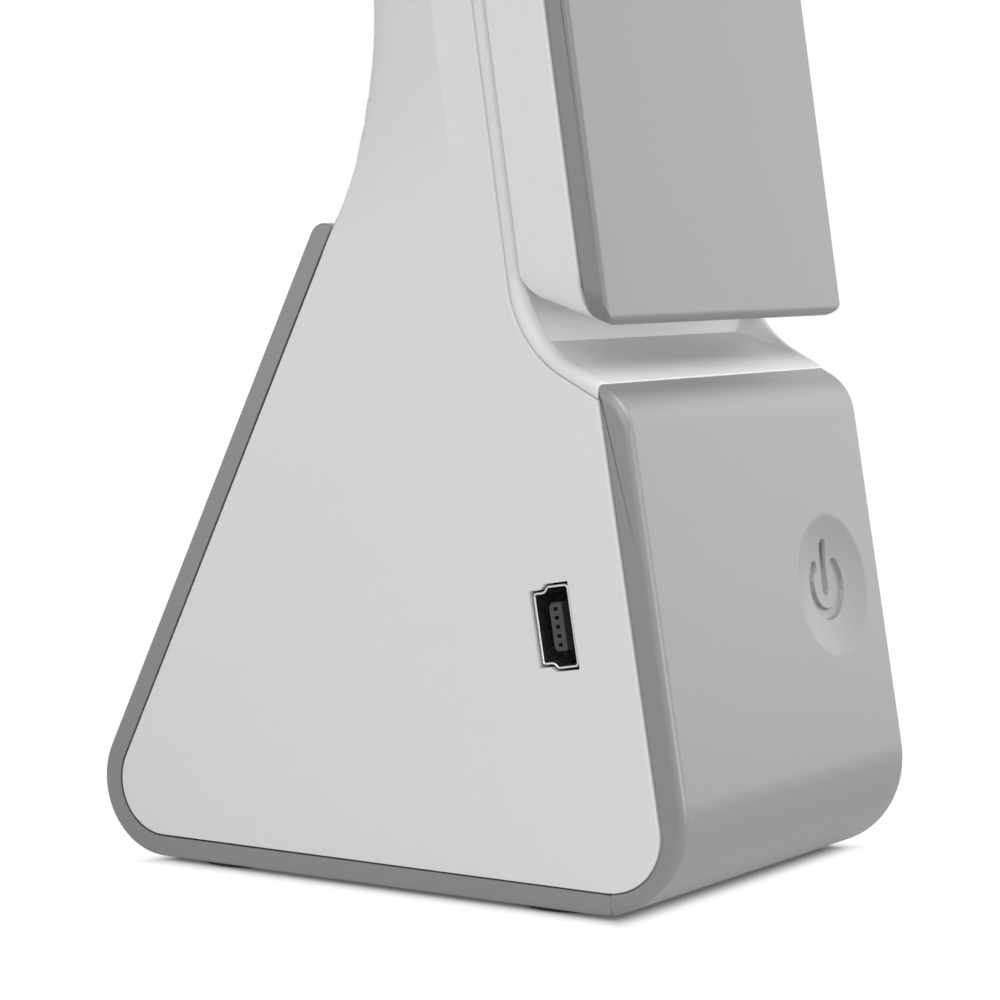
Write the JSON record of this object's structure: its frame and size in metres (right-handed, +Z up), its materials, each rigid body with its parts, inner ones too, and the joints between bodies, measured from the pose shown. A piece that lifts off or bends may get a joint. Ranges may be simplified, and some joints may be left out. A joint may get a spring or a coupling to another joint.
{
  "type": "folding led desk lamp",
  "caption": "Small free-standing desk lamp: a flat light panel folds down against a leaning stem on a wedge base with a touch key and a charging socket.",
  "frame": {"origin": "middle of the overall box at the table, under the foot pads", "axes": "+Z up, -Y towards the user (touch key and folded head), hinge along X"},
  "size_m": [0.0446, 0.0678, 0.22],
  "materials": {
    "white_plastic": "fine satin moulding",
    "grey_plastic": "matte moulding",
    "foot_rubber": "matte",
    "steel": "plain",
    "black_plastic": "matte",
    "contact_brass": "plated",
    "board_green": "solder mask",
    "board_white": "solder mask",
    "coil_ferrite": "matte",
    "capacitor_can": "plain",
    "connector_nylon": "satin",
    "cell_foil": "foil pouch",
    "pad_foam": "foam tape",
    "cable_sheath": "satin",
    "ballast_steel": "zinc plated",
    "bush_brass": "plain",
    "washer_fibre": "fibre",
    "diffuser_plastic": "frosted",
    "led_yellow": "phosphor"
  },
  "bodies": {
    "base": {"body_shell": "white_plastic", "front_insert": "white_plastic", "front_cover": "grey_plastic", "base_strap": "grey_plastic", "foot_pads": "foot_rubber", "strap_screws": "steel", "cover_screws": "steel", "insert_screws": "steel", "usb_shell": "steel", "usb_tongue": "black_plastic", "usb_contacts": "contact_brass", "main_board": "board_green", "board_chips": "black_plastic", "board_coil": "coil_ferrite", "board_capacitors": "capacitor_can", "board_connectors": "connector_nylon", "board_screws": "steel", "touch_spring": "steel", "battery": "cell_foil", "battery_pads": "pad_foam", "battery_leads": "cable_sheath", "ballast": "ballast_steel", "ballast_screws": "steel", "stem_cable": "cable_sheath", "hinge_bracket": "steel", "bracket_screws": "steel", "hinge_bushes": "bush_brass", "friction_washers": "washer_fibre", "disc_springs": "steel"},
    "head": {"hinge_nuts": "steel", "hinge_pin": "steel", "hollow_pin": "steel", "head_arms": "steel", "arm_screws": "steel", "hinge_caps": "white_plastic", "head_tray": "white_plastic", "head_cover": "grey_plastic", "diffuser": "diffuser_plastic", "reflector": "white_plastic", "led_board": "board_white", "leds": "led_yellow", "led_board_screws": "steel", "head_screws": "steel", "head_cable": "cable_sheath"}
  },
  "joints": [
    {"name": "head_hinge", "type": "hinge", "parent": "base", "child": "head", "pos_m": [0, 0.00759, 0.21092], "axis": [-1, 0, 0], "range_deg": [0, 150]}
  ]
}
